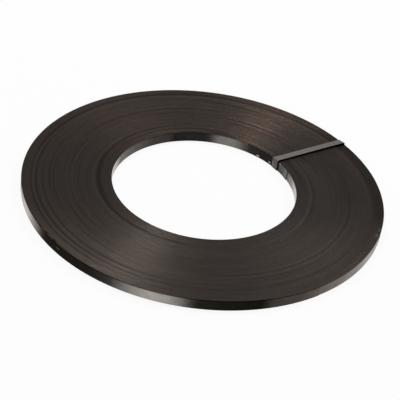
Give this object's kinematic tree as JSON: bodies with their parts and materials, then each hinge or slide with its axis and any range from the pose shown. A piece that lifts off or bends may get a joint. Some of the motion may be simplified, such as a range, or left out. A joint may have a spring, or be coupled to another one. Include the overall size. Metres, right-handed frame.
{
  "type": "steel strapping coil",
  "caption": "Ribbon-wound coil of dark painted steel strapping lying flat, with an open bore and one binder strap folded round its section.",
  "frame": {"origin": "on the coil's axis, at the floor under the binder strap", "axes": "+Z along the coil's axis, up; +X to the right in the picture's view, +Y away from the camera"},
  "size_m": [0.534, 0.5345, 0.02],
  "materials": {
    "strap_paint": "satin black paint and wax over cold-rolled steel strap, bare brownish edges on the coil's ends",
    "binder_paint": "thin dark grey paint on steel strap, scuffed"
  },
  "bodies": {
    "root": {"strap_coil": "strap_paint", "binder_strap": "binder_paint"}
  },
  "joints": []
}
